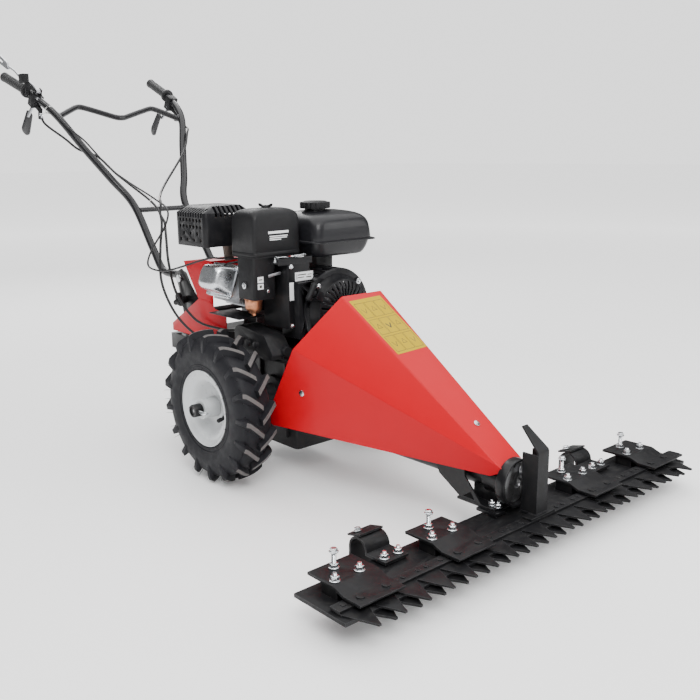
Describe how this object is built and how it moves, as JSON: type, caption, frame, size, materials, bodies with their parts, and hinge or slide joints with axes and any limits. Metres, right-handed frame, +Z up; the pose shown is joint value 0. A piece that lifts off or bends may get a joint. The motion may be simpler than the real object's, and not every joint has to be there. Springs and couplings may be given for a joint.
{
  "type": "walk-behind brush mower",
  "caption": "Walk-behind brush mower: engine over two lugged tyres, sloping front hood, wide reciprocating cutter bar on skids, tubular handlebar with levers.",
  "frame": {"origin": "on the ground, midway along the machine's length, on its mid-plane", "axes": "+X forward, towards the cutter bar; +Y to the operator's left; +Z up"},
  "size_m": [2.2852, 1.246, 1.2477],
  "materials": {
    "frame_black": "satin black powder coat",
    "casting_black": "black paint on cast metal",
    "hood_red": "gloss red powder coat",
    "engine_black": "semi-gloss black paint",
    "tank_black": "gloss black paint",
    "cast_alloy": "as-cast",
    "pressed_alloy": "satin",
    "black_plastic": "moulded, fine texture",
    "exhaust_steel": "heat-tinted",
    "bowl_brass": "dull copper tone",
    "foam": "open foam",
    "belt_rubber": "matt",
    "zinc": "zinc plated",
    "shaft_steel": "turned",
    "bar_black": "black paint, worn edges",
    "rim_white": "gloss white paint",
    "tyre_rubber": "matt with fine sidewall rings",
    "tube_black": "gloss black paint",
    "grip_rubber": "ribbed, matt",
    "lever_grey": "dark grey",
    "lever_silver": "satin",
    "cable_black": "smooth sheath"
  },
  "bodies": {
    "machine": {"chassis_frame": "frame_black", "gearbox_case": "casting_black", "gearbox_lid": "casting_black", "clutch_housing": "casting_black", "shaft_tube": "frame_black", "head_frame": "frame_black", "head_housing": "frame_black", "handle_bracket": "frame_black", "front_hood": "hood_red", "rear_cover": "hood_red", "engine_block": "engine_black", "cylinder_head": "cast_alloy", "valve_cover": "pressed_alloy", "cylinder_shroud": "engine_black", "fan_cover": "engine_black", "recoil_cover": "engine_black", "fuel_tank": "tank_black", "air_filter_cover": "black_plastic", "filter_element": "foam", "filter_base": "black_plastic", "carburettor": "bowl_brass", "muffler": "exhaust_steel", "muffler_guard": "engine_black", "drive_belt": "belt_rubber", "machine_bolts": "zinc", "base_plate": "bar_black", "fixed_teeth": "bar_black", "hold_down_clamps": "bar_black", "skid_shoes": "bar_black", "bar_bolts": "zinc"},
    "wheels": {"axle_shaft": "shaft_steel", "rim_right": "rim_white", "rim_left": "rim_white", "tyre_right": "tyre_rubber", "tyre_left": "tyre_rubber", "hub_pins": "zinc"},
    "crank": {"crankshaft": "shaft_steel", "drive_pulley": "shaft_steel"},
    "input": {"input_shaft": "shaft_steel", "driven_pulley": "shaft_steel"},
    "drive": {"drive_shaft": "shaft_steel", "crank_disc": "shaft_steel"},
    "knife": {"knife_bar": "bar_black", "knife_teeth": "bar_black", "drive_channel": "bar_black"},
    "handlebar": {"handle_tube_right": "tube_black", "handle_tube_left": "tube_black", "cross_braces": "tube_black", "handle_grips": "grip_rubber", "lever_mounts": "black_plastic", "throttle_cable": "cable_black", "clutch_cable": "cable_black", "drive_cable": "cable_black"},
    "clutch_hand_lever": {"clutch_lever": "lever_grey"},
    "drive_hand_lever": {"drive_lever": "lever_grey"},
    "throttle": {"throttle_lever": "lever_silver"},
    "tank_cap": {"fuel_cap": "black_plastic"},
    "starter": {"recoil_handle": "black_plastic"},
    "choke": {"choke_lever": "lever_silver"},
    "knob": {"lock_knob": "black_plastic"}
  },
  "joints": [
    {"name": "axle_spin", "type": "hinge", "parent": "machine", "child": "wheels", "pos_m": [0.19, 0, 0.213], "axis": [0, 1, 0], "continuous": true},
    {"name": "crank_spin", "type": "hinge", "parent": "machine", "child": "crank", "pos_m": [0.19, 0.038, 0.46], "axis": [1, 0, 0], "continuous": true},
    {"name": "drive_spin", "type": "hinge", "parent": "machine", "child": "drive", "pos_m": [0.19, 0, 0.145], "axis": [1, 0, 0], "continuous": true},
    {"name": "input_spin", "type": "hinge", "parent": "machine", "child": "input", "pos_m": [0.19, 0, 0.262], "axis": [1, 0, 0], "continuous": true},
    {"name": "knife_slide", "type": "slide", "parent": "machine", "child": "knife", "axis": [0, 1, 0], "range_m": [-0.047, 0.019]},
    {"name": "handle_tilt", "type": "hinge", "parent": "machine", "child": "handlebar", "pos_m": [-0.255, 0, 0.505], "axis": [0, 1, 0], "range_deg": [-10, 10], "deforming": ["throttle_cable", "clutch_cable", "drive_cable"]},
    {"name": "clutch_lever_pull", "type": "hinge", "parent": "handlebar", "child": "clutch_hand_lever", "pos_m": [-0.91115, -0.269, 1.0679], "axis": [0, 1, 0], "range_deg": [0, 35], "stiffness_Nm_per_rad": 3, "springref_deg": -11.46},
    {"name": "drive_lever_pull", "type": "hinge", "parent": "handlebar", "child": "drive_hand_lever", "pos_m": [-0.91115, 0.269, 1.0679], "axis": [0, 1, 0], "range_deg": [0, 35], "stiffness_Nm_per_rad": 3, "springref_deg": -11.46},
    {"name": "throttle_turn", "type": "hinge", "parent": "handlebar", "child": "throttle", "pos_m": [-0.87419, -0.269, 1.1057], "axis": [0, 1, 0], "range_deg": [0, 35]},
    {"name": "cap_turn", "type": "hinge", "parent": "machine", "child": "tank_cap", "pos_m": [0.242, 0.038, 0.74], "axis": [0, 0, 1], "range_deg": [0, 90]},
    {"name": "starter_pull", "type": "slide", "parent": "machine", "child": "starter", "axis": [0, -0.866, 0.5], "range_m": [0, 0.3], "stiffness_N_per_m": 40, "springref_m": -0.1},
    {"name": "choke_turn", "type": "hinge", "parent": "machine", "child": "choke", "pos_m": [0.2765, -0.122, 0.574], "axis": [1, 0, 0], "range_deg": [-30, 30]},
    {"name": "knob_turn", "type": "hinge", "parent": "machine", "child": "knob", "pos_m": [-0.225, -0.119, 0.44], "axis": [0, 1, 0], "range_deg": [-90, 90]}
  ],
  "couplings": [
    {"joint": "input_spin", "follows": "drive_spin", "ratio": -1.3636}
  ]
}
